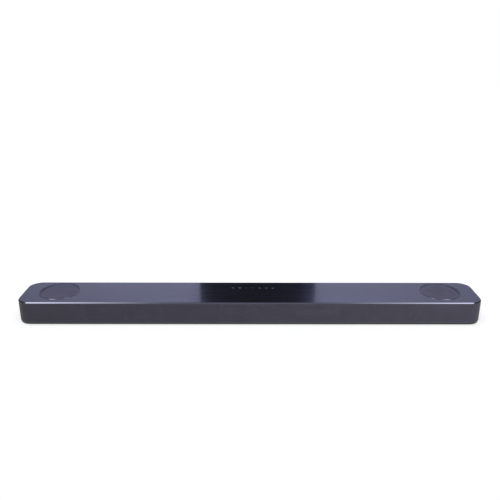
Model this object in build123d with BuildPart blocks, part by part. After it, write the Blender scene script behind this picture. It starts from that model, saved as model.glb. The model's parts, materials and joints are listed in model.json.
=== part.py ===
"""Television soundbar with two upward-firing speakers, as an assembly of separate pieces.

Millimetres. +Z is up, -Y is the front that faces the room, +X is to the right seen from the front.
The origin is on the surface the feet stand on, under the middle of the bar.
"""

import math
import os

from build123d import *

os.makedirs("parts", exist_ok=True)

# ---------------------------------------------------------------- driving dimensions
BODY_LENGTH = 1060.0
BODY_DEPTH = 119.0
BODY_TOP = 57.0
CORNER_RADIUS = 30.0
FOOT_HEIGHT = 5.0
SIDES = {"left": -1, "right": 1}

# Heights of the layers, from the surface up
FLOOR_THICKNESS = 2.5
FLOOR_TOP = FOOT_HEIGHT + FLOOR_THICKNESS
GRILLE_BOTTOM = FLOOR_TOP
GRILLE_TOP = 53.0
FRAME_BOTTOM = 53.2
PANEL_BOTTOM = 54.2
PANEL_UNDERSIDE = 55.2

# Skins
BASE_INSET = 0.5
BASE_CHAMFER = 0.8
SKIRT_WIDTH = 3.0
SKIRT_DROP = 2.0
SHEET = 1.0
GRILLE_GAP = 0.4
WALL_INNER_INSET = 3.9
GRILLE_END_Y = 28.0
PANEL_CHAMFER = 2.0
PANEL_RIM = 2.5

# Upward-firing speakers
UPFIRE_X = 446.0
UPFIRE_Y = 4.5
DISH_RADIUS = 47.0
DISH_RIM = 1.0
MESH_RADIUS = 41.0
MESH_DEPTH = 3.6
MESH_TILT = 3.0
MESH_THICKNESS = 0.8
UPFIRE_TILT = 8.0
UPFIRE_Z = 42.5
UPFIRE_BOX = (102.0, -49.0, 50.0)

# Front speakers: centres along the bar, (woofer, tweeter), and the enclosures behind them
FRONT_SPEAKERS = {
    "left": (-331.0, -252.0, -385.5, -230.0),
    "center": (-17.0, 55.0, -75.0, 75.0),
    "right": (331.0, 252.0, 230.0, 385.5),
}
SPEAKER_Z = 30.0
FLANGE_Y = -52.5
FLANGE_THICKNESS = 2.0
BOX_FRONT_Y = FLANGE_Y + FLANGE_THICKNESS
BOX_BACK_Y = 30.0
BOX_HEIGHT = 45.0
BOX_WALL = 2.5

# Fastening
POST_RADIUS = 4.0
SCREW_RADIUS = 1.5
SCREW_HEAD_RADIUS = 2.6
POST_PLACES = ((513.5, 22), (390.25, 30), (214, 30), (79.5, 30))
POSTS = [(side * x, end * y) for side in (-1, 1) for x, y in POST_PLACES for end in (-1, 1)]
FEET = [(x, y) for x in (-450, 450) for y in (-40, 40)]
FOOT_RADIUS = 8.0
PAN_SCREW_RADIUS = 1.2
PAN_HEAD_RADIUS = 2.0
PAN_HEAD_HEIGHT = 1.3
PAN_SCREW_LENGTH = 7.0
BRACKET_X = 350.0
BRACKET_Y = 41.0
BRACKET_BORE = 2.0
BRACKET_DEPTH = 9.0

# Rear connector bay and the boards
BAY = (-205.0, -90.0, 9.5, 45.5)
BAY_PANEL_Y = 37.5
BAY_WALL = 2.0
PANEL_SHEET = 2.0
BOARD_BOTTOM = 20.0
BOARD_THICKNESS = 1.6
BOARD_TOP = BOARD_BOTTOM + BOARD_THICKNESS
BOARDS = {"main_board": (-148.5, 113.0), "amplifier_board": (147.5, 113.0)}
BOARD_Y = (-30.0, 35.0)
BOARD_SCREWS_Y = -4.0
BOARD_SCREWS_GRID = (105.0, 40.0)
WOOFER_FLANGE = (104.0, 41.0)
WOOFER_SCREWS_GRID = (95.0, 32.0)
UPFIRE_FLANGE = 66.0
UPFIRE_SCREWS_GRID = (55.0, 55.0)
HDMI_X = (-192.0, -170.0)
USB_X = -149.0
OPTICAL_X = -129.0
DC_X = -106.0
DC_BORE = 3.2

# Flat cable from the touch board to the main board: its width as limits in Y
RIBBON_Y = (12.2, 22.2)
RIBBON_THICKNESS = 0.3
RIBBON_X = -86.8

# Touch keys on the top
KEY_PITCH = 15.85
KEY_CENTER_X = 7.0
KEY_Y = 24.8
LEGEND_DEPTH = 0.35
LEGEND_LINE = 1.0
MICROPHONES = (KEY_CENTER_X - 56, KEY_CENTER_X + 56)

DISPLAY_X = 147.0
DISPLAY_SIZE = (84.0, 14.0)


def save(piece, name):
    piece.part.label = name
    export_step(piece.part, f"parts/{name}.step")


def outline(inset, mode=Mode.ADD):
    """The bar's rounded footprint, drawn in by inset."""
    return RectangleRounded(
        BODY_LENGTH - 2 * inset, BODY_DEPTH - 2 * inset, CORNER_RADIUS - inset, mode=mode
    )


def block(x, y, z, mode=Mode.ADD):
    """A box between pairs of limits."""
    with Locations(((x[0] + x[1]) / 2, (y[0] + y[1]) / 2, (z[0] + z[1]) / 2)):
        Box(x[1] - x[0], y[1] - y[0], z[1] - z[0], mode=mode)


def tilted(x, y, z, degrees):
    """A plane facing up and leaning towards the front."""
    lean = math.radians(degrees)
    return Plane(origin=(x, y, z), x_dir=(1, 0, 0), z_dir=(0, -math.sin(lean), math.cos(lean)))


def facing_front(x):
    """A plane on the front speakers' flanges, facing the room."""
    return Plane(origin=(x, FLANGE_Y, SPEAKER_Z), x_dir=(1, 0, 0), z_dir=(0, -1, 0))


# ---------------------------------------------------------------- top
def key_x(number):
    return KEY_CENTER_X + (number - 3) * KEY_PITCH


with BuildSketch() as wireless_mark:
    Circle(3.2)
    Circle(3.2 - LEGEND_LINE, mode=Mode.SUBTRACT)
    Circle(1.8)
    Circle(1.8 - LEGEND_LINE, mode=Mode.SUBTRACT)
    Polygon((0, 0), (4, 4), (-4, 4), align=None, mode=Mode.INTERSECT)
    Circle(0.5)

with BuildSketch(Plane.XY.offset(BODY_TOP - LEGEND_DEPTH)) as legends:
    # power: a ring open at the top, and a stroke in the opening
    with Locations((key_x(0), KEY_Y)):
        Circle(2.1)
        Circle(2.1 - LEGEND_LINE, mode=Mode.SUBTRACT)
    with Locations((key_x(0), KEY_Y + 1.8)):
        Rectangle(1.9, 1.9, mode=Mode.SUBTRACT)
        Rectangle(LEGEND_LINE - 0.2, 2.2)
    # source: a frame open at the left, and an arrow going in
    with Locations((key_x(1) + 0.6, KEY_Y)):
        Rectangle(4.6, 4.2)
        Rectangle(4.6 - 2 * LEGEND_LINE, 4.2 - 2 * LEGEND_LINE, mode=Mode.SUBTRACT)
    with Locations((key_x(1) - 1.5, KEY_Y)):
        Rectangle(1.6, 4.2 - 2 * LEGEND_LINE, mode=Mode.SUBTRACT)
    with Locations((key_x(1) - 1.4, KEY_Y)):
        Rectangle(2.4, LEGEND_LINE)
    with Locations((key_x(1) + 0.3, KEY_Y)):
        Polygon((-0.6, -0.85), (0.8, 0), (-0.6, 0.85), align=None)
    # quieter and louder
    with Locations((key_x(2), KEY_Y), (key_x(3), KEY_Y)):
        Rectangle(4.2, LEGEND_LINE)
    with Locations((key_x(3), KEY_Y)):
        Rectangle(LEGEND_LINE, 4.2)
    # wireless: a dot under two arcs
    with Locations((key_x(4), KEY_Y - 1.3)):
        add(wireless_mark.sketch)
    # microphone: a capsule over a stem and a foot
    with Locations((key_x(5), KEY_Y + 0.8)):
        SlotOverall(3.0, 1.6, rotation=90)
    with Locations((key_x(5), KEY_Y - 1.5)):
        Rectangle(LEGEND_LINE - 0.2, 1.7)
    with Locations((key_x(5), KEY_Y - 2.2)):
        Rectangle(2.2, LEGEND_LINE - 0.2)
    # assistant: a plain ring
    with Locations((key_x(6), KEY_Y)):
        Circle(1.9)
        Circle(1.9 - LEGEND_LINE, mode=Mode.SUBTRACT)

with BuildPart() as touch_legends:
    add(legends.sketch)
    extrude(amount=LEGEND_DEPTH)
save(touch_legends, "touch_legends")

with BuildPart() as top_panel:
    with BuildSketch(Plane.XY.offset(PANEL_BOTTOM)):
        outline(0)
    extrude(amount=BODY_TOP - PANEL_BOTTOM)
    chamfer(top_panel.faces().sort_by(Axis.Z)[-1].edges(), length=PANEL_CHAMFER)
    with BuildSketch(Plane.XY.offset(PANEL_BOTTOM)):
        outline(PANEL_RIM)
    extrude(amount=PANEL_UNDERSIDE - PANEL_BOTTOM, mode=Mode.SUBTRACT)
    with Locations((-UPFIRE_X, UPFIRE_Y, BODY_TOP), (UPFIRE_X, UPFIRE_Y, BODY_TOP)):
        Hole(radius=DISH_RADIUS)
    with Locations(*[(x, KEY_Y, BODY_TOP) for x in MICROPHONES]):
        Hole(radius=0.6)
    add(legends.sketch)
    extrude(amount=LEGEND_DEPTH, mode=Mode.SUBTRACT)
save(top_panel, "top_panel")

TOUCH_WINDOW = (KEY_CENTER_X - 66, KEY_CENTER_X + 66, KEY_Y - 12, KEY_Y + 12)

with BuildPart() as top_frame:
    with BuildSketch(Plane.XY.offset(FRAME_BOTTOM)):
        outline(PANEL_RIM + GRILLE_GAP)
        # weight-saving windows between the cross members
        with Locations((-300, 0), (-147, 0), (147, 0), (300, 0)):
            RectangleRounded(126, 78, 6, mode=Mode.SUBTRACT)
        with Locations((0, -30)):
            RectangleRounded(126, 30, 6, mode=Mode.SUBTRACT)
    extrude(amount=PANEL_UNDERSIDE - FRAME_BOTTOM)
    block(TOUCH_WINDOW[:2], TOUCH_WINDOW[2:], (FRAME_BOTTOM, PANEL_UNDERSIDE), mode=Mode.SUBTRACT)
    with Locations((-UPFIRE_X, UPFIRE_Y, PANEL_UNDERSIDE), (UPFIRE_X, UPFIRE_Y, PANEL_UNDERSIDE)):
        Hole(radius=DISH_RADIUS + 0.2)
    # posts down to the floor, each with a pilot hole for a screw
    with BuildSketch(Plane.XY.offset(FLOOR_TOP)):
        with Locations(*POSTS):
            Circle(POST_RADIUS)
    extrude(amount=FRAME_BOTTOM - FLOOR_TOP)
    with BuildSketch(Plane.XY.offset(FLOOR_TOP)):
        with Locations(*POSTS):
            Circle(SCREW_RADIUS + 0.05)
    extrude(amount=14, mode=Mode.SUBTRACT)
save(top_frame, "top_frame")


def upfire_cover(side, sign):
    """The dished ring let into the top panel, and the perforated disc in it."""
    x = sign * UPFIRE_X
    mesh_plane = tilted(x, UPFIRE_Y, BODY_TOP - MESH_DEPTH, MESH_TILT)
    with BuildPart() as bezel:
        with BuildSketch(Plane.XY.offset(49.8)):
            with Locations((x, UPFIRE_Y)):
                Circle(DISH_RADIUS - 0.1)
        extrude(amount=BODY_TOP - 49.8)
        with BuildSketch(Plane.XY.offset(FRAME_BOTTOM - 1.6)):
            with Locations((x, UPFIRE_Y)):
                Circle(DISH_RADIUS + 4)
        extrude(amount=1.6)
        with BuildSketch(Plane.XY.offset(BODY_TOP)):
            with Locations((x, UPFIRE_Y)):
                Circle(DISH_RADIUS - DISH_RIM)
        with BuildSketch(mesh_plane):
            Circle(MESH_RADIUS)
        loft(mode=Mode.SUBTRACT)
        lip = bezel.faces().sort_by(Axis.Z)[-1].edges().sort_by(SortBy.LENGTH)[0]
        fillet(lip, radius=0.8)
        with BuildSketch(mesh_plane):
            Circle(MESH_RADIUS)
        extrude(amount=-0.9, mode=Mode.SUBTRACT)
        with BuildSketch(mesh_plane):
            Circle(MESH_RADIUS - 1.5)
        extrude(amount=-10, mode=Mode.SUBTRACT)
    save(bezel, f"upfire_bezel_{side}")
    with BuildPart() as disc:
        with BuildSketch(mesh_plane.offset(-0.9)):
            Circle(MESH_RADIUS - 0.1)
        extrude(amount=MESH_THICKNESS)
    save(disc, f"upfire_grille_{side}")


for name, sign in SIDES.items():
    upfire_cover(name, sign)

# ---------------------------------------------------------------- front
with BuildPart() as front_grille:
    with BuildSketch(Plane.XY.offset(GRILLE_BOTTOM)):
        outline(0)
        outline(SHEET, mode=Mode.SUBTRACT)
        with Locations((0, GRILLE_END_Y - 0.3)):
            Rectangle(BODY_LENGTH + 2, BODY_DEPTH, align=(Align.CENTER, Align.MIN), mode=Mode.SUBTRACT)
    extrude(amount=GRILLE_TOP - GRILLE_BOTTOM)
    # folded returns along the top and bottom
    front_inside = -BODY_DEPTH / 2 + SHEET
    for low in (GRILLE_BOTTOM, GRILLE_TOP - SHEET):
        block((-500, 500), (front_inside - 0.5, front_inside + 3), (low, low + SHEET))
save(front_grille, "front_grille")

BAFFLE_TOP = SPEAKER_Z + BOX_HEIGHT / 2

with BuildPart() as front_baffle:
    block((-515, 515), (FLANGE_Y, BOX_FRONT_Y), (FLOOR_TOP, BAFFLE_TOP))
    for woofer_x, tweeter_x, *_ in FRONT_SPEAKERS.values():
        with BuildSketch(facing_front(woofer_x)):
            RectangleRounded(WOOFER_FLANGE[0] + 0.6, WOOFER_FLANGE[1] + 0.6, 5.3)
        extrude(amount=-FLANGE_THICKNESS, mode=Mode.SUBTRACT)
        with BuildSketch(facing_front(tweeter_x)):
            Circle(17.3)
        extrude(amount=-FLANGE_THICKNESS, mode=Mode.SUBTRACT)
    with BuildSketch(facing_front(DISPLAY_X)):
        RectangleRounded(*DISPLAY_SIZE, 1.5)
    extrude(amount=-FLANGE_THICKNESS, mode=Mode.SUBTRACT)
    # stiffening ribs behind the end sections
    for sign in SIDES.values():
        ends = sorted((sign * 400, sign * 510))
        block(ends, (BOX_FRONT_Y, BOX_FRONT_Y + 1.2), (12, 14))
    # hooks that the grille's upper fold clips over
    hook_z = (BAFFLE_TOP - 1.5, BAFFLE_TOP - 0.5)
    for hook in range(9):
        hook_x = -480 + 120 * hook
        block((hook_x - 6, hook_x + 6), (FLANGE_Y - 4.5, FLANGE_Y), hook_z)
save(front_baffle, "front_baffle")

with BuildPart() as display_lens:
    with BuildSketch(facing_front(DISPLAY_X)):
        RectangleRounded(DISPLAY_SIZE[0] - 0.2, DISPLAY_SIZE[1] - 0.2, 1.4)
    extrude(amount=-1.4)
save(display_lens, "display_lens")

with BuildPart() as display_board:
    with BuildSketch(facing_front(DISPLAY_X).offset(-FLANGE_THICKNESS)):
        Rectangle(100, 24)
    extrude(amount=-BOARD_THICKNESS)
    # the row of light-emitting blocks behind the lens
    with BuildSketch(facing_front(DISPLAY_X).offset(-FLANGE_THICKNESS)):
        with GridLocations(19, 1, 4, 1):
            Rectangle(18, 10)
    extrude(amount=0.5)
save(display_board, "display_board")

# ---------------------------------------------------------------- lower cabinet
REAR_OUTER_Y = BODY_DEPTH / 2
REAR_INNER_Y = REAR_OUTER_Y - WALL_INNER_INSET

with BuildPart() as lower_cabinet:
    with BuildSketch(Plane.XY.offset(FOOT_HEIGHT)):
        outline(BASE_INSET)
    extrude(amount=FLOOR_THICKNESS)
    chamfer(lower_cabinet.faces().sort_by(Axis.Z)[0].edges(), length=BASE_CHAMFER)
    # a skirt round the edge hides the feet
    with BuildSketch(Plane.XY.offset(FOOT_HEIGHT - SKIRT_DROP)):
        outline(BASE_INSET + BASE_CHAMFER)
        outline(BASE_INSET + BASE_CHAMFER + SKIRT_WIDTH, mode=Mode.SUBTRACT)
    extrude(amount=SKIRT_DROP)
    with BuildSketch(Plane.XY.offset(FLOOR_TOP)):
        outline(0)
        outline(WALL_INNER_INSET, mode=Mode.SUBTRACT)
        # no wall along the front, where the baffle stands
        with Locations((0, -46)):
            Rectangle(BODY_LENGTH, 20, align=(Align.CENTER, Align.MAX), mode=Mode.SUBTRACT)
    extrude(amount=GRILLE_TOP - FLOOR_TOP)
    # the side walls step in behind the grille's ends
    with BuildSketch(Plane.XY.offset(FLOOR_TOP)):
        outline(0)
        outline(SHEET + GRILLE_GAP, mode=Mode.SUBTRACT)
        with Locations((0, GRILLE_END_Y)):
            Rectangle(BODY_LENGTH, BODY_DEPTH, align=(Align.CENTER, Align.MIN), mode=Mode.SUBTRACT)
    extrude(amount=GRILLE_TOP - FLOOR_TOP, mode=Mode.SUBTRACT)
    # connector bay: a short tunnel in from the rear wall
    block(
        (BAY[0] - BAY_WALL, BAY[1] + BAY_WALL),
        (BAY_PANEL_Y, REAR_INNER_Y + 1),
        (FLOOR_TOP - 1, BAY[3] + BAY_WALL),
    )
    block(BAY[:2], (BAY_PANEL_Y, REAR_OUTER_Y), BAY[2:], mode=Mode.SUBTRACT)
    # cooling slots in the rear wall, behind the amplifier
    with BuildSketch(Plane.XZ.offset(-REAR_OUTER_Y)):
        with Locations((BOARDS["amplifier_board"][0], 31)):
            with GridLocations(5, 1, 22, 1):
                SlotOverall(18, 2.2, rotation=90)
    extrude(amount=WALL_INNER_INSET, mode=Mode.SUBTRACT)
    # and in the floor under it
    with BuildSketch(Plane.XY.offset(FOOT_HEIGHT)):
        with Locations((BOARDS["amplifier_board"][0], 0)):
            with GridLocations(6, 34, 16, 2):
                SlotOverall(24, 2.4, rotation=90)
    extrude(amount=FLOOR_THICKNESS, mode=Mode.SUBTRACT)
    # standoffs for the boards
    with BuildSketch(Plane.XY.offset(FLOOR_TOP)):
        for board_x, _ in BOARDS.values():
            with Locations((board_x, BOARD_SCREWS_Y)):
                with GridLocations(*BOARD_SCREWS_GRID, 2, 2):
                    Circle(3)
                    Circle(PAN_SCREW_RADIUS + 0.05, mode=Mode.SUBTRACT)
    extrude(amount=BOARD_BOTTOM - FLOOR_TOP)
    # bosses round the wall-bracket inserts
    with BuildSketch(Plane.XY.offset(FLOOR_TOP)):
        with Locations((-BRACKET_X, BRACKET_Y), (BRACKET_X, BRACKET_Y)):
            Circle(6.5)
    extrude(amount=BRACKET_DEPTH)
    with BuildSketch(Plane.XY.offset(FOOT_HEIGHT)):
        with Locations((-BRACKET_X, BRACKET_Y), (BRACKET_X, BRACKET_Y)):
            Circle(4)
    extrude(amount=BRACKET_DEPTH + 1, mode=Mode.SUBTRACT)
    # sockets for the feet, and countersunk holes for the screws
    with BuildSketch(Plane.XY.offset(FOOT_HEIGHT)):
        with Locations(*FEET):
            Circle(FOOT_RADIUS)
    extrude(amount=1, mode=Mode.SUBTRACT)
    underside = Plane(origin=(0, 0, FOOT_HEIGHT), x_dir=(1, 0, 0), z_dir=(0, 0, -1))
    with Locations(underside):
        with Locations(*[(x, -y) for x, y in POSTS]):
            CounterSinkHole(
                radius=SCREW_RADIUS + 0.15,
                counter_sink_radius=3.0,
                depth=FLOOR_THICKNESS,
                counter_sink_angle=90,
            )
save(lower_cabinet, "lower_cabinet")

with BuildPart() as rubber_feet:
    with BuildSketch():
        with Locations(*FEET):
            Circle(FOOT_RADIUS)
    extrude(amount=FOOT_HEIGHT + 1)
    chamfer(rubber_feet.edges().group_by(Axis.Z)[0], length=0.8)
save(rubber_feet, "rubber_feet")

with BuildPart() as bracket_inserts:
    with BuildSketch(Plane.XY.offset(FOOT_HEIGHT)):
        with Locations((-BRACKET_X, BRACKET_Y), (BRACKET_X, BRACKET_Y)):
            Circle(4)
    extrude(amount=BRACKET_DEPTH + 1)
    with BuildSketch(Plane.XY.offset(FOOT_HEIGHT)):
        with Locations((-BRACKET_X, BRACKET_Y), (BRACKET_X, BRACKET_Y)):
            Circle(BRACKET_BORE)
    extrude(amount=BRACKET_DEPTH, mode=Mode.SUBTRACT)
save(bracket_inserts, "bracket_inserts")

with BuildPart() as cabinet_screws:
    head_bottom = FOOT_HEIGHT + 0.3
    head_top = head_bottom + SCREW_HEAD_RADIUS - SCREW_RADIUS
    for x, y in POSTS:
        with Locations((x, y, (head_bottom + head_top) / 2)):
            Cone(SCREW_HEAD_RADIUS, SCREW_RADIUS, head_top - head_bottom)
    with BuildSketch(Plane.XY.offset(head_top)):
        with Locations(*POSTS):
            Circle(SCREW_RADIUS)
    extrude(amount=14)
    # cross recess
    with BuildSketch(Plane.XY.offset(head_bottom)):
        with Locations(*POSTS):
            Rectangle(2.6, 0.7)
            Rectangle(0.7, 2.6)
    extrude(amount=0.8, mode=Mode.SUBTRACT)
save(cabinet_screws, "cabinet_screws")

# ---------------------------------------------------------------- enclosures
for name, (woofer_x, tweeter_x, low_x, high_x) in FRONT_SPEAKERS.items():
    with BuildPart() as speaker_box:
        block((low_x, high_x), (BOX_FRONT_Y, BOX_BACK_Y), (FLOOR_TOP, BAFFLE_TOP))
        block(
            (low_x + BOX_WALL, high_x - BOX_WALL),
            (BOX_FRONT_Y + BOX_WALL, BOX_BACK_Y - BOX_WALL),
            (FLOOR_TOP + BOX_WALL, BAFFLE_TOP - BOX_WALL),
            mode=Mode.SUBTRACT,
        )
        with BuildSketch(facing_front(woofer_x).offset(-FLANGE_THICKNESS)):
            SlotOverall(97.5, 36)
        extrude(amount=-BOX_WALL, mode=Mode.SUBTRACT)
        with BuildSketch(facing_front(tweeter_x).offset(-FLANGE_THICKNESS)):
            Circle(13.3)
        extrude(amount=-BOX_WALL, mode=Mode.SUBTRACT)
        with BuildSketch(facing_front(woofer_x).offset(-FLANGE_THICKNESS)):
            with GridLocations(*WOOFER_SCREWS_GRID, 2, 2):
                Circle(PAN_SCREW_RADIUS + 0.05)
        extrude(amount=-BOX_WALL, mode=Mode.SUBTRACT)
    save(speaker_box, f"speaker_box_{name}")


def upfire_box(side, sign):
    """A sealed box with a sloping lid, on which the upward-firing speaker sits."""
    width, front, back = UPFIRE_BOX
    middle = sign * UPFIRE_X
    slope = math.tan(math.radians(UPFIRE_TILT))
    lid_height = UPFIRE_Z - FLANGE_THICKNESS / math.cos(math.radians(UPFIRE_TILT))

    def profile(inset):
        low, rear = front + inset, back - inset
        bottom = FLOOR_TOP + inset
        lid = lid_height - inset
        return Polygon(
            (low, bottom),
            (rear, bottom),
            (rear, lid + (rear - UPFIRE_Y) * slope),
            (low, lid + (low - UPFIRE_Y) * slope),
            align=None,
        )

    driver_plane = tilted(middle, UPFIRE_Y, UPFIRE_Z, UPFIRE_TILT)
    with BuildPart() as box:
        with BuildSketch(Plane.YZ.offset(middle - width / 2)):
            profile(0)
        extrude(amount=width)
        with BuildSketch(Plane.YZ.offset(middle - width / 2 + BOX_WALL)):
            profile(BOX_WALL)
        extrude(amount=width - 2 * BOX_WALL, mode=Mode.SUBTRACT)
        with BuildSketch(driver_plane):
            Circle(31.8)
            with GridLocations(*UPFIRE_SCREWS_GRID, 2, 2):
                Circle(PAN_SCREW_RADIUS + 0.05)
        extrude(amount=-9, mode=Mode.SUBTRACT)
    save(box, f"upfire_box_{side}")


for name, sign in SIDES.items():
    upfire_box(name, sign)

# ---------------------------------------------------------------- drivers
COIL_INNER, COIL_OUTER = 7.5, 8.0
POLE_RADIUS = 7.0
GAP_RADIUS = 8.5
PLATE_HEIGHT = 4.0


def motor(plane, seat, magnet_height, radius, name):
    """Top plate, ring magnet and yoke with its pole, stacked down from the basket's seat."""
    magnet_top = seat - PLATE_HEIGHT
    magnet_bottom = magnet_top - magnet_height
    with BuildPart() as stack:
        with BuildSketch(plane.offset(seat)):
            Circle(radius)
            Circle(GAP_RADIUS, mode=Mode.SUBTRACT)
        extrude(amount=-PLATE_HEIGHT)
    with BuildPart() as magnet:
        with BuildSketch(plane.offset(magnet_top)):
            Circle(radius - 0.5)
            Circle(GAP_RADIUS + 2.5, mode=Mode.SUBTRACT)
        extrude(amount=-magnet_height)
    with BuildPart() as yoke:
        with BuildSketch(plane.offset(magnet_bottom)):
            Circle(radius)
        extrude(amount=-PLATE_HEIGHT)
        with BuildSketch(plane.offset(magnet_bottom)):
            Circle(POLE_RADIUS)
        extrude(amount=seat - 0.5 - magnet_bottom)
    stack.part = Compound([stack.part.solid(), magnet.part.solid(), yoke.part.solid()])
    save(stack, name)


def moving_parts(plane, rim, neck, seat, name):
    """Cone, dust cap and voice coil, which travel together. rim and neck draw the cone's ends."""
    neck_height = seat + 5.5
    with BuildPart() as cone:
        with BuildSketch(plane):
            rim(0)
        with BuildSketch(plane.offset(neck_height)):
            neck(0)
        loft()
        with BuildSketch(plane):
            rim(0.7)
        with BuildSketch(plane.offset(neck_height + 0.8)):
            neck(0.7)
        loft(mode=Mode.SUBTRACT)
    with BuildPart() as cap:
        with BuildSketch(plane.offset(neck_height + 0.8)):
            Circle(6.5)
        extrude(amount=2.4)
        fillet(cap.faces().sort_by(Axis(plane.origin, plane.z_dir))[-1].edges(), radius=2.2)
    with BuildPart() as coil:
        with BuildSketch(plane.offset(neck_height)):
            Circle(COIL_OUTER)
            Circle(COIL_INNER, mode=Mode.SUBTRACT)
        extrude(amount=seat - 6 - neck_height)
    cone.part = Compound([cone.part.solid(), cap.part.solid(), coil.part.solid()])
    save(cone, name)


def surround(plane, outer, inner, name):
    """The rolled edge between basket and cone. outer and inner draw its limits at an inset."""
    with BuildPart() as roll:
        with BuildSketch(plane):
            outer(0)
            inner(0, mode=Mode.SUBTRACT)
        extrude(amount=2.4)
        fillet(roll.faces().sort_by(Axis(plane.origin, plane.z_dir))[-1].edges(), radius=1.8)
        with BuildSketch(plane):
            outer(0.7)
            inner(-0.7, mode=Mode.SUBTRACT)
        extrude(amount=1.6, mode=Mode.SUBTRACT)
        with BuildSketch(plane):
            outer(-3.4)
            outer(0.35, mode=Mode.SUBTRACT)
        extrude(amount=0.5)
    save(roll, name)


def woofer(name, x):
    """A racetrack driver that faces the room."""
    plane = facing_front(x)
    seat = -15.0
    with BuildPart() as frame:
        with BuildSketch(plane.offset(-FLANGE_THICKNESS)):
            SlotOverall(96, 34.5)
        with BuildSketch(plane.offset(seat + 1)):
            SlotOverall(38, 34)
        loft()
        with BuildSketch(plane.offset(-FLANGE_THICKNESS)):
            SlotOverall(93.6, 32)
        with BuildSketch(plane.offset(seat + 1)):
            SlotOverall(35.6, 31.6)
        loft(mode=Mode.SUBTRACT)
        with BuildSketch(plane):
            RectangleRounded(*WOOFER_FLANGE, 5)
            SlotOverall(93.6, 32, mode=Mode.SUBTRACT)
            with GridLocations(*WOOFER_SCREWS_GRID, 2, 2):
                Circle(PAN_SCREW_RADIUS + 0.15, mode=Mode.SUBTRACT)
        extrude(amount=-FLANGE_THICKNESS)
        with BuildSketch(plane.offset(seat)):
            SlotOverall(38, 34)
            Circle(10, mode=Mode.SUBTRACT)
        extrude(amount=1)
        # windows in the basket
        with BuildSketch(plane.offset(seat + 3)):
            with GridLocations(26, 40, 2, 2):
                Rectangle(16, 20)
        extrude(amount=7, mode=Mode.SUBTRACT)
    save(frame, f"woofer_frame_{name}")
    motor(plane, seat, 8.0, 16.5, f"woofer_motor_{name}")
    surround(
        plane,
        lambda inset, mode=Mode.ADD: SlotOverall(92.8 - 2 * inset, 31.2 - 2 * inset, mode=mode),
        lambda inset, mode=Mode.ADD: SlotOverall(84.8 - 2 * inset, 23.2 - 2 * inset, mode=mode),
        f"woofer_surround_{name}",
    )
    moving_parts(
        plane,
        lambda inset: SlotOverall(84 - 2 * inset, 22.4 - 2 * inset),
        lambda inset: SlotOverall(19 - 2 * inset, 17.2 - 2 * inset),
        seat,
        f"woofer_cone_{name}",
    )


def upfire_driver(name, sign):
    """A round driver that faces up, leaning towards the room."""
    plane = tilted(sign * UPFIRE_X, UPFIRE_Y, UPFIRE_Z, UPFIRE_TILT)
    seat = -12.0
    with BuildPart() as frame:
        with BuildSketch(plane.offset(-FLANGE_THICKNESS)):
            Circle(31.2)
        with BuildSketch(plane.offset(seat + 1)):
            Circle(17)
        loft()
        with BuildSketch(plane.offset(-FLANGE_THICKNESS)):
            Circle(30)
        with BuildSketch(plane.offset(seat + 1)):
            Circle(15.8)
        loft(mode=Mode.SUBTRACT)
        with BuildSketch(plane):
            RectangleRounded(UPFIRE_FLANGE, UPFIRE_FLANGE, 8)
            Circle(30, mode=Mode.SUBTRACT)
            with GridLocations(*UPFIRE_SCREWS_GRID, 2, 2):
                Circle(PAN_SCREW_RADIUS + 0.15, mode=Mode.SUBTRACT)
        extrude(amount=-FLANGE_THICKNESS)
        with BuildSketch(plane.offset(seat)):
            Circle(17)
            Circle(10, mode=Mode.SUBTRACT)
        extrude(amount=1)
        with BuildSketch(plane.offset(seat + 2.5)):
            with PolarLocations(26, 4):
                Rectangle(18, 12)
        extrude(amount=5, mode=Mode.SUBTRACT)
    save(frame, f"upfire_frame_{name}")
    motor(plane, seat, 6.0, 16.5, f"upfire_motor_{name}")
    surround(
        plane,
        lambda inset, mode=Mode.ADD: Circle(29.6 - inset, mode=mode),
        lambda inset, mode=Mode.ADD: Circle(24.4 - inset, mode=mode),
        f"upfire_surround_{name}",
    )
    moving_parts(
        plane,
        lambda inset: Circle(24 - inset),
        lambda inset: Circle(8.8 - inset),
        seat,
        f"upfire_cone_{name}",
    )


def tweeter(name, x):
    """A soft-dome driver that faces the room."""
    plane = facing_front(x)
    with BuildPart() as body:
        with BuildSketch(plane):
            Circle(17)
        extrude(amount=-FLANGE_THICKNESS)
        with BuildSketch(plane.offset(-FLANGE_THICKNESS)):
            Circle(13)
        extrude(amount=-12)
        with BuildSketch(plane):
            Circle(11.2)
        extrude(amount=-2.4, mode=Mode.SUBTRACT)
        with BuildSketch(plane.offset(-2.4)):
            Circle(10.7)
            Circle(8.8, mode=Mode.SUBTRACT)
        extrude(amount=-6.6, mode=Mode.SUBTRACT)
    save(body, f"tweeter_body_{name}")
    with BuildPart() as dome:
        with BuildSketch(plane.offset(-1.6)):
            Circle(10)
        extrude(amount=4)
        fillet(dome.faces().sort_by(Axis(plane.origin, plane.z_dir))[-1].edges(), radius=3.8)
        with BuildSketch(plane.offset(-1.6)):
            Circle(9.4)
        extrude(amount=0.8, mode=Mode.SUBTRACT)
        with BuildSketch(plane.offset(-0.8)):
            Circle(9.4)
        with BuildSketch(plane.offset(1.9)):
            Circle(6.2)
        loft(mode=Mode.SUBTRACT)
        with BuildSketch(plane.offset(-1.6)):
            Circle(10)
            Circle(9.5, mode=Mode.SUBTRACT)
        extrude(amount=-4.6)
    save(dome, f"tweeter_dome_{name}")


for name, (woofer_x, tweeter_x, *_) in FRONT_SPEAKERS.items():
    woofer(name, woofer_x)
    tweeter(name, tweeter_x)
for name, sign in SIDES.items():
    upfire_driver(name, sign)

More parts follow.
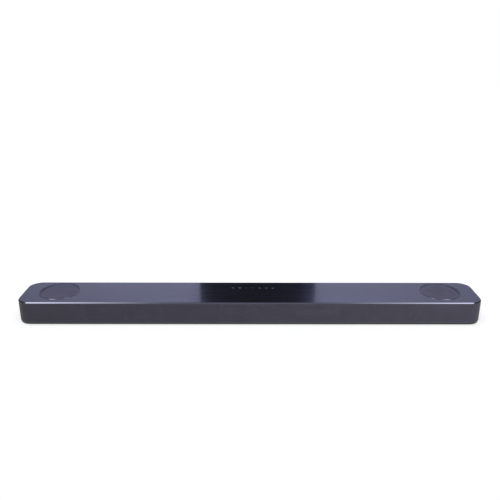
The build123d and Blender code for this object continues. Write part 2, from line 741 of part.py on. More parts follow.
# ---------------------------------------------------------------- electronics
for name, (board_x, board_length) in BOARDS.items():
    with BuildPart() as board:
        board_ends = (board_x - board_length / 2, board_x + board_length / 2)
        block(board_ends, BOARD_Y, (BOARD_BOTTOM, BOARD_TOP))
        with Locations((board_x, BOARD_SCREWS_Y, BOARD_TOP)):
            with GridLocations(*BOARD_SCREWS_GRID, 2, 2):
                Hole(radius=PAN_SCREW_RADIUS + 0.15)
        # parts standing on the board, soldered down
        if name == "main_board":
            block((board_x - 12, board_x + 12), (-12, 12), (BOARD_TOP, BOARD_TOP + 2.2))
            block((board_x - 40, board_x - 26), (-6, 4), (BOARD_TOP, BOARD_TOP + 1.4))
            block((board_x + 22, board_x + 38), (-24, -16), (BOARD_TOP, BOARD_TOP + 5))
            block((board_x + 38.5, board_x + 45.5), RIBBON_Y, (BOARD_TOP, BOARD_TOP + 5))
            block((board_x - 54.5, board_x - 46.5), (0, 10), (BOARD_TOP, BOARD_TOP + 9))
        else:
            block((board_x - 20, board_x + 20), (20, 28), (BOARD_TOP, BOARD_TOP + 9))
            with BuildSketch(Plane.XY.offset(BOARD_TOP)):
                with Locations((board_x, -23)):
                    with GridLocations(15, 1, 6, 1):
                        Circle(5)
            extrude(amount=16)
    save(board, name)

amplifier_x = BOARDS["amplifier_board"][0]
with BuildPart() as heat_sink:
    sink_ends = (amplifier_x - 48, amplifier_x + 48)
    block(sink_ends, (-14, 16), (BOARD_TOP, BOARD_TOP + 4))
    for fin in range(9):
        fin_y = -13 + fin * 3.4
        block(sink_ends, (fin_y, fin_y + 1.2), (BOARD_TOP + 4, BOARD_TOP + 24))
save(heat_sink, "heat_sink")

with BuildPart() as wireless_module:
    main_x = BOARDS["main_board"][0]
    block((main_x - 44, main_x - 20), (-26, -12), (BOARD_TOP, BOARD_TOP + 1))
    block((main_x - 40, main_x - 24), (-24, -14), (BOARD_TOP + 1, BOARD_TOP + 3))
save(wireless_module, "wireless_module")

TOUCH_BOARD_BOTTOM, TOUCH_BOARD_TOP = 53.4, 54.6
RIBBON_TOP = 53.0

with BuildPart() as touch_board:
    block(
        (TOUCH_WINDOW[0] + 0.5, TOUCH_WINDOW[1] - 0.5),
        (TOUCH_WINDOW[2] + 0.5, TOUCH_WINDOW[3] - 0.5),
        (TOUCH_BOARD_BOTTOM, TOUCH_BOARD_TOP),
    )
    # microphone ports, and the microphones soldered under them
    for x in MICROPHONES:
        with Locations((x, KEY_Y, TOUCH_BOARD_TOP)):
            Hole(radius=0.6)
        microphone_z = (TOUCH_BOARD_BOTTOM - 0.8, TOUCH_BOARD_BOTTOM)
        block((x - 1.9, x + 1.9), (KEY_Y - 1.4, KEY_Y + 1.4), microphone_z)
    # connector for the flat cable
    block((-54, -42), (TOUCH_WINDOW[2] + 0.5, RIBBON_Y[1]), (RIBBON_TOP, TOUCH_BOARD_BOTTOM))
save(touch_board, "touch_board")

with BuildPart() as light_guide:
    block(
        (key_x(0) - 5, key_x(6) + 5),
        (KEY_Y - 5, KEY_Y + 5),
        (TOUCH_BOARD_TOP, PANEL_UNDERSIDE),
    )
save(light_guide, "light_guide")

RIBBON_LOW = BOARD_TOP + 5 + RIBBON_THICKNESS / 2
RIBBON_HIGH = RIBBON_TOP - RIBBON_THICKNESS / 2
with BuildPart() as touch_ribbon:
    with BuildLine(Plane.XZ.offset(-sum(RIBBON_Y) / 2)) as route:
        FilletPolyline(
            (-44, RIBBON_HIGH),
            (RIBBON_X, RIBBON_HIGH),
            (RIBBON_X, RIBBON_LOW),
            (BOARDS["main_board"][0] + 40, RIBBON_LOW),
            radius=2,
        )
    with BuildSketch(Plane(origin=route.line @ 0, x_dir=(0, 1, 0), z_dir=route.line % 0)):
        Rectangle(RIBBON_Y[1] - RIBBON_Y[0], RIBBON_THICKNESS)
    sweep()
save(touch_ribbon, "touch_ribbon")

SCREWED_FACES = (
    [(facing_front(woofer_x), WOOFER_SCREWS_GRID) for woofer_x, *_ in FRONT_SPEAKERS.values()]
    + [
        (tilted(sign * UPFIRE_X, UPFIRE_Y, UPFIRE_Z, UPFIRE_TILT), UPFIRE_SCREWS_GRID)
        for sign in SIDES.values()
    ]
    + [
        (Plane(origin=(board_x, BOARD_SCREWS_Y, BOARD_TOP)), BOARD_SCREWS_GRID)
        for board_x, _ in BOARDS.values()
    ]
)

with BuildPart() as pan_screws:
    for plane, grid in SCREWED_FACES:
        with BuildSketch(plane):
            with GridLocations(*grid, 2, 2):
                Circle(PAN_HEAD_RADIUS)
        extrude(amount=PAN_HEAD_HEIGHT)
        with BuildSketch(plane):
            with GridLocations(*grid, 2, 2):
                Circle(PAN_SCREW_RADIUS)
        extrude(amount=-PAN_SCREW_LENGTH)
save(pan_screws, "pan_screws")

# Harness: one trunk behind the enclosures, with a drop to each box and to the amplifier
TRUNK_Y, TRUNK_Z = 44.0, 50.3
with BuildPart() as wire_loom:
    with BuildLine() as trunk:
        FilletPolyline(
            (-395, TRUNK_Y, 30),
            (-381, TRUNK_Y, 30),
            (-381, TRUNK_Y, TRUNK_Z),
            (381, TRUNK_Y, TRUNK_Z),
            (381, TRUNK_Y, 30),
            (395, TRUNK_Y, 30),
            radius=6,
        )
    with BuildSketch(Plane(origin=trunk.line @ 0, z_dir=trunk.line % 0)):
        Circle(2.5)
    sweep()
    drops = [
        [(x, TRUNK_Y, TRUNK_Z), (x, TRUNK_Y, 26), (x, depth, 26)]
        for x, depth in ((-300, BOX_BACK_Y), (0, BOX_BACK_Y), (300, BOX_BACK_Y), (amplifier_x, 28.0))
    ]
    drops.append([(-222, TRUNK_Y, TRUNK_Z), (-222, TRUNK_Y, 27), (-222, 5, 27), (-203, 5, 27)])
    for points in drops:
        with BuildLine() as drop:
            FilletPolyline(*points, radius=5)
        with BuildSketch(Plane(origin=drop.line @ 0, z_dir=drop.line % 0)):
            Circle(1.6)
        sweep()
save(wire_loom, "wire_loom")

# ---------------------------------------------------------------- rear connectors
HDMI_OUTER = (15.0, 6.0)
USB_OUTER = (13.2, 5.8)
OPTICAL_OUTER = (10.0, 10.4)
DC_OUTER = (9.6, 11.0)


def socket_plane(x, height):
    """A plane on a socket's mouth, centred on it and facing out of the bay."""
    return Plane(
        origin=(x, BAY_PANEL_Y, BOARD_TOP + height / 2), x_dir=(-1, 0, 0), z_dir=(0, 1, 0)
    )


with BuildPart() as connector_panel:
    block(
        (BAY[0] - BAY_WALL, BAY[1] + BAY_WALL),
        (BAY_PANEL_Y - PANEL_SHEET, BAY_PANEL_Y),
        (FLOOR_TOP, BAY[3] + BAY_WALL),
    )
    for x, (width, height) in (
        (HDMI_X[0], HDMI_OUTER),
        (HDMI_X[1], HDMI_OUTER),
        (USB_X, USB_OUTER),
        (OPTICAL_X, OPTICAL_OUTER),
        (DC_X, DC_OUTER),
    ):
        with BuildSketch(socket_plane(x, height)):
            Rectangle(width + 0.4, height + 0.4)
        extrude(amount=-PANEL_SHEET, mode=Mode.SUBTRACT)
save(connector_panel, "connector_panel")


def hdmi_mouth(inset, mode=Mode.ADD):
    """The connector's outline, with its two lower corners cut off."""
    half, top = HDMI_OUTER[0] / 2 - inset, HDMI_OUTER[1] / 2 - inset
    cut = 1.8
    left = [(-half + cut, -top), (-half, -top + cut), (-half, top)]
    right = [(-x, z) for x, z in reversed(left)]
    return Polygon(*left, *right, align=None, mode=mode)


with BuildPart() as hdmi_sockets:
    for x in HDMI_X:
        with BuildSketch(socket_plane(x, HDMI_OUTER[1])):
            hdmi_mouth(0)
        extrude(amount=-12)
        with BuildSketch(socket_plane(x, HDMI_OUTER[1])):
            hdmi_mouth(0.5)
        extrude(amount=-10, mode=Mode.SUBTRACT)
        with BuildSketch(socket_plane(x, HDMI_OUTER[1]).offset(-10)):
            with Locations((0, 0.2)):
                Rectangle(11, 1.2)
        extrude(amount=9)
save(hdmi_sockets, "hdmi_sockets")

with BuildPart() as usb_socket:
    with BuildSketch(socket_plane(USB_X, USB_OUTER[1])):
        Rectangle(*USB_OUTER)
    extrude(amount=-14)
    with BuildSketch(socket_plane(USB_X, USB_OUTER[1])):
        Rectangle(12.4, 5.0)
    extrude(amount=-12, mode=Mode.SUBTRACT)
    with BuildSketch(socket_plane(USB_X, USB_OUTER[1]).offset(-12)):
        with Locations((0, 0.9)):
            Rectangle(11, 1.8)
    extrude(amount=11)
save(usb_socket, "usb_socket")

with BuildPart() as optical_socket:
    with BuildSketch(socket_plane(OPTICAL_X, OPTICAL_OUTER[1])):
        Rectangle(*OPTICAL_OUTER)
    extrude(amount=-13)
    with BuildSketch(socket_plane(OPTICAL_X, OPTICAL_OUTER[1])):
        Rectangle(8.2, 8.2)
    extrude(amount=-8, mode=Mode.SUBTRACT)
    # the fibre's seat at the bottom of the recess
    with BuildSketch(socket_plane(OPTICAL_X, OPTICAL_OUTER[1]).offset(-8)):
        Circle(1.3)
    extrude(amount=-3, mode=Mode.SUBTRACT)
save(optical_socket, "optical_socket")

with BuildPart() as dc_socket:
    with BuildSketch(socket_plane(DC_X, DC_OUTER[1])):
        Rectangle(*DC_OUTER)
    extrude(amount=-13)
    with BuildSketch(socket_plane(DC_X, DC_OUTER[1])):
        Circle(DC_BORE)
    extrude(amount=-10, mode=Mode.SUBTRACT)
    with BuildSketch(socket_plane(DC_X, DC_OUTER[1]).offset(-10)):
        Circle(1.0)
    extrude(amount=9)
save(dc_socket, "dc_socket")
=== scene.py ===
"""Looks of the soundbar: perforated metal, finishes on every piece, a pale studio and the camera.

Everything is in metres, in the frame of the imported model: +X right seen from the front, -Y front, +Z up.
"""

import json
import math

import bpy
from mathutils import Euler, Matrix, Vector


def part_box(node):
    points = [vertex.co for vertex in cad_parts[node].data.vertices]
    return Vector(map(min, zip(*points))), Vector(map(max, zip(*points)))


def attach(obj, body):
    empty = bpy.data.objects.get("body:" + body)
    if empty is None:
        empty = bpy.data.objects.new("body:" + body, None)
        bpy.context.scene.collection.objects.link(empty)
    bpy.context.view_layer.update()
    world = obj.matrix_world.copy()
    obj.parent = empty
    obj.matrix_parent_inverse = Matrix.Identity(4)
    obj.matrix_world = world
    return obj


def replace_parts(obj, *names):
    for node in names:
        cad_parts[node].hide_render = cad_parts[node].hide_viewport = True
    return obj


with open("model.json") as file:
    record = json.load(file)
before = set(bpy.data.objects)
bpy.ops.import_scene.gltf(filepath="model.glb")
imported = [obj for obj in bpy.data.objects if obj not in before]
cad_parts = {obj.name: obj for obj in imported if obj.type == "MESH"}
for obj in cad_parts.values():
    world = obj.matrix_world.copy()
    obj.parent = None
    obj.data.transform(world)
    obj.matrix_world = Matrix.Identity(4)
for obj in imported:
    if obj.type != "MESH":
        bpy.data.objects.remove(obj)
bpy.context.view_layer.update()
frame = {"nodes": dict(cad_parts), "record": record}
MM = 0.001

# ---------------------------------------------------------------- camera
CAMERA_LENS = 42.68
CAMERA_SENSOR = 36
CAMERA_PITCH = 19.68
CAMERA_TURN = 0.14
CAMERA_ROLL = 0.12
CAMERA_DISTANCE = 1.275
CAMERA_HEIGHT = 0.618


def make_camera():
    data = bpy.data.cameras.new("camera")
    data.lens = CAMERA_LENS
    data.sensor_width = CAMERA_SENSOR
    camera = bpy.data.objects.new("camera", data)
    bpy.context.scene.collection.objects.link(camera)
    turn = Euler((0, 0, math.radians(-CAMERA_TURN))).to_matrix()
    camera.location = turn @ Vector((0, -CAMERA_DISTANCE, CAMERA_HEIGHT))
    tilt = Euler((math.radians(90 - CAMERA_PITCH), 0, 0)).to_matrix()
    roll = Euler((0, 0, math.radians(CAMERA_ROLL))).to_matrix()
    camera.rotation_euler = (turn @ tilt @ roll).to_euler()
    bpy.context.scene.camera = camera


# ---------------------------------------------------------------- studio
FLOOR_HALF = 8.0
FLOOR_COLOR = (0.42, 0.42, 0.41)
FLOOR_GLOW = 0.68
CARD_X = (-0.139, 0.183)
CARD_Y = 0.25
CARD_TOP = 0.45
CARD_COLOR = (0.01, 0.01, 0.012)
# Painted light: glow across the card, from its left edge (0) to its right (1), dark in the middle and
# brighter and bluer towards the edges, standing for light on the faces of the unbuilt box
CARD_PAINTED_GLOW = (
    (0.0, (0.050, 0.058, 0.070)),
    (0.12, (0.030, 0.033, 0.038)),
    (0.5, (0.024, 0.025, 0.026)),
    (0.85, (0.034, 0.035, 0.043)),
    (1.0, (0.105, 0.115, 0.165)),
)
WALL_COLOR = (0.63, 0.64, 0.75)
SIDE_LIGHT_PLACE = (1.05, -1.35, 0.55)
SIDE_LIGHT_SIZE = (0.5, 0.5)
SIDE_LIGHT_POWER = 30.0
SIDE_LIGHT_COLOR = (0.8, 0.84, 1.0)
SIDE_LIGHT_AIM = (0.35, 0, 0.03)
PANEL_BRIGHTNESS = 4.3
PANEL_COLOR = (0.97, 0.98, 1.0)
# Position on the way from the middle of the view (0) to a side (1), and brightness there
WALL_LEVELS = ((0.0, 1.0), (0.2, 0.94), (0.35, 0.7), (0.62, 0.55), (0.76, 0.14), (1.0, 0.12))
PANEL_LEVELS = ((0.15, 0.0), (0.25, 0.45), (0.34, 1.0), (0.5, 1.0), (0.6, 0.0))
# Brightness before and after a change, and the values of the direction where it starts and ends
CEILING_FADE = (1.0, 0.65, 0.5, 0.8)
PANEL_RISE_UP = (0.0, 1.0, 0.6, 0.75)
PANEL_RISE_FORWARDS = (0.0, 1.0, -0.1, 0.05)
PANEL_LEFT_TO_RIGHT = (1.12, 0.93, -0.3, 0.3)


class Tree:
    """Short ways to add nodes to a material or a world."""

    def __init__(self, owner):
        owner.use_nodes = True
        self.nodes = owner.node_tree.nodes
        self.links = owner.node_tree.links

    def math(self, operation, first, second=0.0):
        node = self.nodes.new("ShaderNodeMath")
        node.operation = operation
        for socket, value in zip(node.inputs, (first, second)):
            if isinstance(value, (int, float)):
                socket.default_value = value
            else:
                self.links.new(value, socket)
        return node.outputs[0]

    def ramp(self, factor, *stops):
        """Colours at positions along a factor."""
        node = self.nodes.new("ShaderNodeValToRGB")
        elements = node.color_ramp.elements
        while len(elements) < len(stops):
            elements.new(0.5)
        for element, (position, color) in zip(elements, stops):
            element.position = position
            element.color = (*color, 1)
        self.links.new(factor, node.inputs["Fac"])
        return node.outputs["Color"]

    def rise(self, factor, low, high, start, end):
        """From low to high as the factor goes from start to end."""
        node = self.nodes.new("ShaderNodeMapRange")
        node.inputs["From Min"].default_value = start
        node.inputs["From Max"].default_value = end
        node.inputs["To Min"].default_value = low
        node.inputs["To Max"].default_value = high
        self.links.new(factor, node.inputs["Value"])
        return node.outputs["Result"]


def stage_sheet(name, corners, color, glow):
    """A matt sheet that belongs to the studio, and that glows white."""
    mesh = bpy.data.meshes.new(name)
    mesh.from_pydata(corners, [], [range(len(corners))])
    sheet = bpy.data.objects.new(name, mesh)
    bpy.context.scene.collection.objects.link(sheet)
    material = bpy.data.materials.new(name)
    material.use_nodes = True
    shader = material.node_tree.nodes["Principled BSDF"]
    shader.inputs["Base Color"].default_value = (*color, 1)
    shader.inputs["Roughness"].default_value = 1.0
    shader.inputs["Specular IOR Level"].default_value = 0.0
    shader.inputs["Emission Color"].default_value = (1, 1, 1, 1)
    shader.inputs["Emission Strength"].default_value = glow
    sheet.data.materials.append(material)
    return sheet


def make_floor():
    h = FLOOR_HALF
    corners = [(-h, -h, 0), (h, -h, 0), (h, h, 0), (-h, h, 0)]
    stage_sheet("floor", corners, FLOOR_COLOR, FLOOR_GLOW)


def make_dark_card():
    """Stands for the dark box behind the bar, which isn't built. Only reflections show it: a painted
    reflection, dark in the middle of the deck, with painted glow towards its edges.
    """
    left, right = CARD_X
    corners = [(left, CARD_Y, 0), (right, CARD_Y, 0), (right, CARD_Y, CARD_TOP), (left, CARD_Y, CARD_TOP)]
    card = stage_sheet("dark_card", corners, CARD_COLOR, 1.0)
    tree = Tree(card.data.materials[0])
    split = tree.nodes.new("ShaderNodeSeparateXYZ")
    tree.links.new(tree.nodes.new("ShaderNodeTexCoord").outputs["Object"], split.inputs[0])
    across = tree.rise(split.outputs["X"], 0.0, 1.0, left, right)
    # painted light: the card glows dark in the middle and brighter at its edges, which paints the box's
    # reflection into the deck's gloss
    glow = tree.ramp(across, *CARD_PAINTED_GLOW)
    tree.links.new(glow, tree.nodes["Principled BSDF"].inputs["Emission Color"])
    card.visible_camera = False
    card.visible_diffuse = False
    card.visible_shadow = False


def make_side_light(lit):
    """A soft light low on the right for the pieces in lit, which brighten towards that end."""
    data = bpy.data.lights.new("side_light", "AREA")
    data.shape = "RECTANGLE"
    data.size, data.size_y = SIDE_LIGHT_SIZE
    data.energy = SIDE_LIGHT_POWER
    data.color = SIDE_LIGHT_COLOR
    light = bpy.data.objects.new("side_light", data)
    bpy.context.scene.collection.objects.link(light)
    light.location = SIDE_LIGHT_PLACE
    aim = Vector(SIDE_LIGHT_AIM) - light.location
    light.rotation_euler = aim.to_track_quat("-Z", "Y").to_euler()
    receivers = bpy.data.collections.new("side_lit")
    for piece in lit:
        receivers.objects.link(piece)
    light.light_linking.receiver_collection = receivers


def make_world():
    """Walls that darken to the sides, and a bright panel over each end of the bar, in front of it.

    The camera sees plain white behind the floor.
    """
    world = bpy.data.worlds.new("studio")
    bpy.context.scene.world = world
    tree = Tree(world)
    direction = tree.nodes.new("ShaderNodeSeparateXYZ")
    tree.links.new(tree.nodes.new("ShaderNodeTexCoord").outputs["Generated"], direction.inputs[0])
    sideways = tree.math("ABSOLUTE", direction.outputs["X"])
    up = direction.outputs["Z"]
    forwards = tree.math("MULTIPLY", direction.outputs["Y"], -1.0)

    def grey(factor, *stops):
        return tree.ramp(factor, *[(position, (level, level, level)) for position, level in stops])

    walls = grey(sideways, *WALL_LEVELS)
    ceiling = tree.rise(up, *CEILING_FADE)
    light = tree.math("MULTIPLY", walls, ceiling)
    panel = grey(sideways, *PANEL_LEVELS)
    panel = tree.math("MULTIPLY", panel, tree.rise(up, *PANEL_RISE_UP))
    panel = tree.math("MULTIPLY", panel, tree.rise(forwards, *PANEL_RISE_FORWARDS))
    panel = tree.math("MULTIPLY", panel, tree.rise(direction.outputs["X"], *PANEL_LEFT_TO_RIGHT))
    panel = tree.math("MULTIPLY", panel, PANEL_BRIGHTNESS)

    shaders = []
    for color, strength in ((WALL_COLOR, light), (PANEL_COLOR, panel)):
        background = tree.nodes.new("ShaderNodeBackground")
        background.inputs["Color"].default_value = (*color, 1)
        tree.links.new(strength, background.inputs["Strength"])
        shaders.append(background.outputs[0])
    both = tree.nodes.new("ShaderNodeAddShader")
    for shader, socket in zip(shaders, both.inputs):
        tree.links.new(shader, socket)
    white = tree.nodes["Background"]
    white.inputs["Color"].default_value = (1, 1, 1, 1)
    seen = tree.nodes.new("ShaderNodeMixShader")
    tree.links.new(tree.nodes.new("ShaderNodeLightPath").outputs["Is Camera Ray"], seen.inputs["Fac"])
    tree.links.new(both.outputs[0], seen.inputs[1])
    tree.links.new(white.outputs[0], seen.inputs[2])
    tree.links.new(seen.outputs[0], tree.nodes["World Output"].inputs["Surface"])


# ---------------------------------------------------------------- finishes
DECK_COLOR = (0.139, 0.144, 0.232)
CHAMFER_COLOR = (0.142, 0.144, 0.184)
HAIRLINE_DEPTH = 0.000004
# Upward part of a normal, past which a face counts as level
LEVEL_NORMAL = 0.95


class Finish(Tree):
    """One procedural material. Its textures are laid in metres, in the frame of the model."""

    def __init__(self, name, **sockets):
        self.material = bpy.data.materials.new(name)
        super().__init__(self.material)
        self.shader = self.nodes["Principled BSDF"]
        self.place = self.nodes.new("ShaderNodeTexCoord").outputs["Object"]
        self.normal = None
        for socket, value in sockets.items():
            self.shader.inputs[socket.replace("_", " ")].default_value = value

    def spread(self, stretch):
        mapping = self.nodes.new("ShaderNodeMapping")
        mapping.inputs["Scale"].default_value = stretch
        self.links.new(self.place, mapping.inputs["Vector"])
        return mapping.outputs["Vector"]

    def noise(self, scale, detail=3.0, stretch=(1, 1, 1)):
        texture = self.nodes.new("ShaderNodeTexNoise")
        texture.inputs["Scale"].default_value = scale
        texture.inputs["Detail"].default_value = detail
        self.links.new(self.spread(stretch), texture.inputs["Vector"])
        return texture.outputs["Fac"]

    def cells(self, scale, stretch=(1, 1, 1)):
        texture = self.nodes.new("ShaderNodeTexVoronoi")
        texture.inputs["Scale"].default_value = scale
        self.links.new(self.spread(stretch), texture.inputs["Vector"])
        return texture.outputs["Distance"]

    def waves(self, scale, axis, distortion=0.0):
        texture = self.nodes.new("ShaderNodeTexWave")
        texture.bands_direction = axis
        texture.inputs["Scale"].default_value = scale
        texture.inputs["Distortion"].default_value = distortion
        self.links.new(self.place, texture.inputs["Vector"])
        return texture.outputs["Fac"]

    def color(self, factor, *stops):
        self.links.new(self.ramp(factor, *stops), self.shader.inputs["Base Color"])

    def roughness(self, factor, low, high, start=0.3, end=0.7):
        self.links.new(self.rise(factor, low, high, start, end), self.shader.inputs["Roughness"])

    def bump(self, height, depth, strength):
        """Adds to the bumps that are there already."""
        node = self.nodes.new("ShaderNodeBump")
        node.inputs["Strength"].default_value = strength
        node.inputs["Distance"].default_value = depth
        self.links.new(height, node.inputs["Height"])
        if self.normal is not None:
            self.links.new(self.normal, node.inputs["Normal"])
        self.normal = node.outputs["Normal"]
        self.links.new(self.normal, self.shader.inputs["Normal"])

    def facing_up(self):
        """1 on level faces, 0 on the chamfer and the walls."""
        geometry = self.nodes.new("ShaderNodeNewGeometry")
        split = self.nodes.new("ShaderNodeSeparateXYZ")
        self.links.new(geometry.outputs["True Normal"], split.inputs[0])
        return self.math("GREATER_THAN", split.outputs["Z"], LEVEL_NORMAL)


def shades(color, spread):
    """Two stops either side of a colour, for a slow variation across a surface."""
    return (
        (0.35, tuple(c * (1 - spread) for c in color)),
        (0.65, tuple(c * (1 + spread) for c in color)),
    )


def deck_metal():
    """Hairline-brushed dark metal under a clear coat, with a polished cut edge."""
    f = Finish("deck_metal", Metallic=1.0, Coat_Weight=0.25, Coat_Roughness=0.08)
    hairline = f.noise(1.0, 2.0, (9, 3200, 900))
    broad = f.noise(1.0, 2.0, (2.2, 9, 4))
    tone = f.math("ADD", f.math("MULTIPLY", hairline, 0.6), f.math("MULTIPLY", broad, 0.4))
    level = f.facing_up()
    mix = f.nodes.new("ShaderNodeMix")
    mix.data_type = "RGBA"
    f.links.new(level, mix.inputs["Factor"])
    f.links.new(f.ramp(tone, *shades(CHAMFER_COLOR, 0.06)), mix.inputs["A"])
    f.links.new(f.ramp(tone, *shades(DECK_COLOR, 0.10)), mix.inputs["B"])
    f.links.new(mix.outputs["Result"], f.shader.inputs["Base Color"])
    f.roughness(f.math("MULTIPLY", hairline, level), 0.12, 0.36, 0.35, 0.7)
    f.bump(f.math("MULTIPLY", hairline, level), HAIRLINE_DEPTH, 0.5)
    return f.material


def satin_paint(name, color, roughness, grain=2600, depth=0.00001):
    """Powder or wet paint on metal: fine orange peel and slight unevenness."""
    f = Finish(name)
    f.color(f.noise(35, 3), *shades(color, 0.08))
    peel = f.noise(grain, 2)
    f.roughness(f.noise(90, 4), roughness - 0.05, roughness + 0.06)
    f.bump(peel, depth, 0.5)
    return f.material


def moulded(name, color, roughness=0.55, grain=1500, depth=0.00003):
    """Moulded plastic with a spark-eroded grain."""
    f = Finish(name)
    f.color(f.noise(20, 4), *shades(color, 0.10))
    f.roughness(f.noise(260, 5), roughness - 0.08, roughness + 0.08)
    f.bump(f.cells(grain), depth, 0.6)
    return f.material


def gloss(name, color, roughness):
    f = Finish(name, Coat_Weight=0.6, Coat_Roughness=0.05)
    f.color(f.noise(12, 3), *shades(color, 0.06))
    f.roughness(f.noise(400, 4), roughness - 0.03, roughness + 0.05)
    f.bump(f.noise(120, 2), 0.000006, 0.4)
    return f.material


def rubber(name, color, roughness=0.72):
    f = Finish(name)
    f.color(f.noise(60, 5), *shades(color, 0.16))
    f.roughness(f.noise(700, 4), roughness - 0.08, roughness + 0.1)
    f.bump(f.noise(3000, 3), 0.00002, 0.5)
    return f.material


def metal(name, color, roughness, stretch):
    """Bare or plated metal with the marks of rolling or turning."""
    f = Finish(name, Metallic=1.0)
    lines = f.noise(1.0, 3, stretch)
    tone = f.math("ADD", f.math("MULTIPLY", lines, 0.5), f.math("MULTIPLY", f.noise(70, 4), 0.5))
    f.color(tone, *shades(color, 0.12))
    f.roughness(lines, roughness - 0.08, roughness + 0.1)
    f.bump(lines, 0.000008, 0.5)
    return f.material


def circuit_board(name):
    """Solder mask over copper tracks, with the weave of the glass cloth under it."""
    f = Finish(name, Coat_Weight=0.3, Coat_Roughness=0.2)
    tracks = f.cells(260, (1, 1, 0.2))
    f.color(
        tracks,
        (0.18, (0.030, 0.200, 0.100)),
        (0.30, (0.010, 0.085, 0.045)),
        (0.9, (0.014, 0.110, 0.055)),
    )
    f.roughness(f.noise(500, 3), 0.30, 0.45)
    f.bump(tracks, 0.00003, 0.6)
    weave = f.math("MULTIPLY", f.waves(900, "X"), f.waves(900, "Y"))
    f.bump(weave, 0.00001, 0.4)
    return f.material


def paper_cone(name):
    f = Finish(name)
    f.color(f.noise(420, 6), *shades((0.055, 0.055, 0.060), 0.3))
    f.roughness(f.noise(900, 4), 0.62, 0.85)
    f.bump(f.noise(1800, 6), 0.00005, 0.7)
    return f.material


def woven(name, color, threads):
    f = Finish(name)
    weave = f.math("MULTIPLY", f.waves(threads, "X", 1.0), f.waves(threads, "Z", 1.0))
    f.color(weave, (0.0, tuple(c * 0.6 for c in color)), (0.6, tuple(c * 1.3 for c in color)))
    f.roughness(f.noise(600, 3), 0.6, 0.8)
    f.bump(weave, 0.00008, 0.7)
    return f.material


def flat_cable(name):
    """White film with its printed conductors showing through."""
    f = Finish(name, Coat_Weight=0.2)
    lines = f.waves(500, "Y")
    f.color(lines, (0.35, (0.50, 0.47, 0.40)), (0.6, (0.78, 0.76, 0.70)))
    f.roughness(f.noise(300, 3), 0.35, 0.5)
    f.bump(lines, 0.00002, 0.5)
    return f.material


def milky(name):
    f = Finish(name, Transmission_Weight=0.25, IOR=1.49)
    f.color(f.noise(90, 3), *shades((0.74, 0.76, 0.80), 0.05))
    f.roughness(f.noise(500, 3), 0.25, 0.4)
    f.bump(f.noise(900, 2), 0.00001, 0.4)
    return f.material


FINISHES = {
    "deck_metal": deck_metal(),
    "legend_white": moulded("legend_white", (0.34, 0.35, 0.38), 0.45, 3000, 0.000005),
    "frame_plastic": moulded("frame_plastic", (0.028, 0.028, 0.032)),
    "bezel_plastic": satin_paint("bezel_plastic", (0.080, 0.079, 0.125), 0.42),
    "mesh_metal": satin_paint("mesh_metal", (0.100, 0.096, 0.155), 0.38),
    "grille_metal": satin_paint("grille_metal", (0.030, 0.027, 0.040), 0.45),
    "cabinet_plastic": moulded("cabinet_plastic", (0.022, 0.022, 0.026), 0.5),
    "baffle_plastic": moulded("baffle_plastic", (0.016, 0.016, 0.018), 0.6),
    "box_plastic": moulded("box_plastic", (0.030, 0.030, 0.034), 0.6, 900),
    "lens_smoke": gloss("lens_smoke", (0.010, 0.010, 0.013), 0.08),
    "board_green": circuit_board("board_green"),
    "heat_sink_metal": metal("heat_sink_metal", (0.62, 0.62, 0.64), 0.32, (12, 1500, 1500)),
    "rubber_black": rubber("rubber_black", (0.018, 0.018, 0.019)),
    "surround_rubber": rubber("surround_rubber", (0.014, 0.014, 0.015), 0.5),
    "insert_brass": metal("insert_brass", (0.72, 0.50, 0.22), 0.28, (900, 900, 5000)),
    "screw_steel": metal("screw_steel", (0.16, 0.16, 0.17), 0.35, (900, 900, 3000)),
    "basket_steel": satin_paint("basket_steel", (0.030, 0.030, 0.034), 0.5, 1500, 0.00003),
    "motor_steel": metal("motor_steel", (0.42, 0.42, 0.44), 0.35, (300, 1500, 300)),
    "cone_paper": paper_cone("cone_paper"),
    "dome_silk": woven("dome_silk", (0.05, 0.05, 0.055), 2200),
    "tweeter_plastic": moulded("tweeter_plastic", (0.026, 0.026, 0.030), 0.45),
    "socket_steel": metal("socket_steel", (0.58, 0.58, 0.60), 0.25, (700, 60, 700)),
    "socket_plastic": moulded("socket_plastic", (0.016, 0.016, 0.016), 0.4, 2500),
    "guide_clear": milky("guide_clear"),
    "ribbon_film": flat_cable("ribbon_film"),
    "loom_sleeve": woven("loom_sleeve", (0.03, 0.03, 0.033), 700),
}


def dress(piece, slot):
    piece.data.materials.clear()
    piece.data.materials.append(FINISHES[slot])


def dress_cad_nodes():
    for part in frame["record"]["subparts"]:
        dress(frame["nodes"][part["node"]], part["material_slot"])


def solid_piece(name, slot, vertices, faces, crease):
    """A new piece of the bar's body, with sharp edges where it turns by more than crease degrees."""
    mesh = bpy.data.meshes.new(name)
    mesh.from_pydata(vertices, [], faces)
    mesh.validate()
    mesh.shade_smooth()
    mesh.set_sharp_from_angle(angle=math.radians(crease))
    piece = bpy.data.objects.new(name, mesh)
    bpy.context.scene.collection.objects.link(piece)
    dress(piece, slot)
    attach(piece, "soundbar")
    return piece


# ---------------------------------------------------------------- perforated metal
GRILLE_PITCH = 2.6 * MM
GRILLE_HOLE = 0.88 * MM
GRILLE_SHEET = 1.0 * MM
DISC_PITCH = 2.0 * MM
DISC_HOLE = 0.62 * MM
DISC_SHEET = 0.8 * MM
CORNER_RADIUS = 30 * MM
# Least plain borders: top and bottom of the grille together, each of its ends, and round a disc
GRILLE_BORDER = 2.4 * MM
GRILLE_END_BORDER = 1.5 * MM
DISC_BORDER = 1.6 * MM
# Points of a cell's edge, in half widths and half heights from the middle of its hole
CELL_EDGE = ((1, 0), (1, 1), (0, 1), (-1, 1), (-1, 0), (-1, -1), (0, -1), (1, -1))
SHEET_CREASE = 35
# Points are shared when they round to the same of these steps in a millimetre
SHARING_STEPS = 1000
SAME_POINT = 1e-7


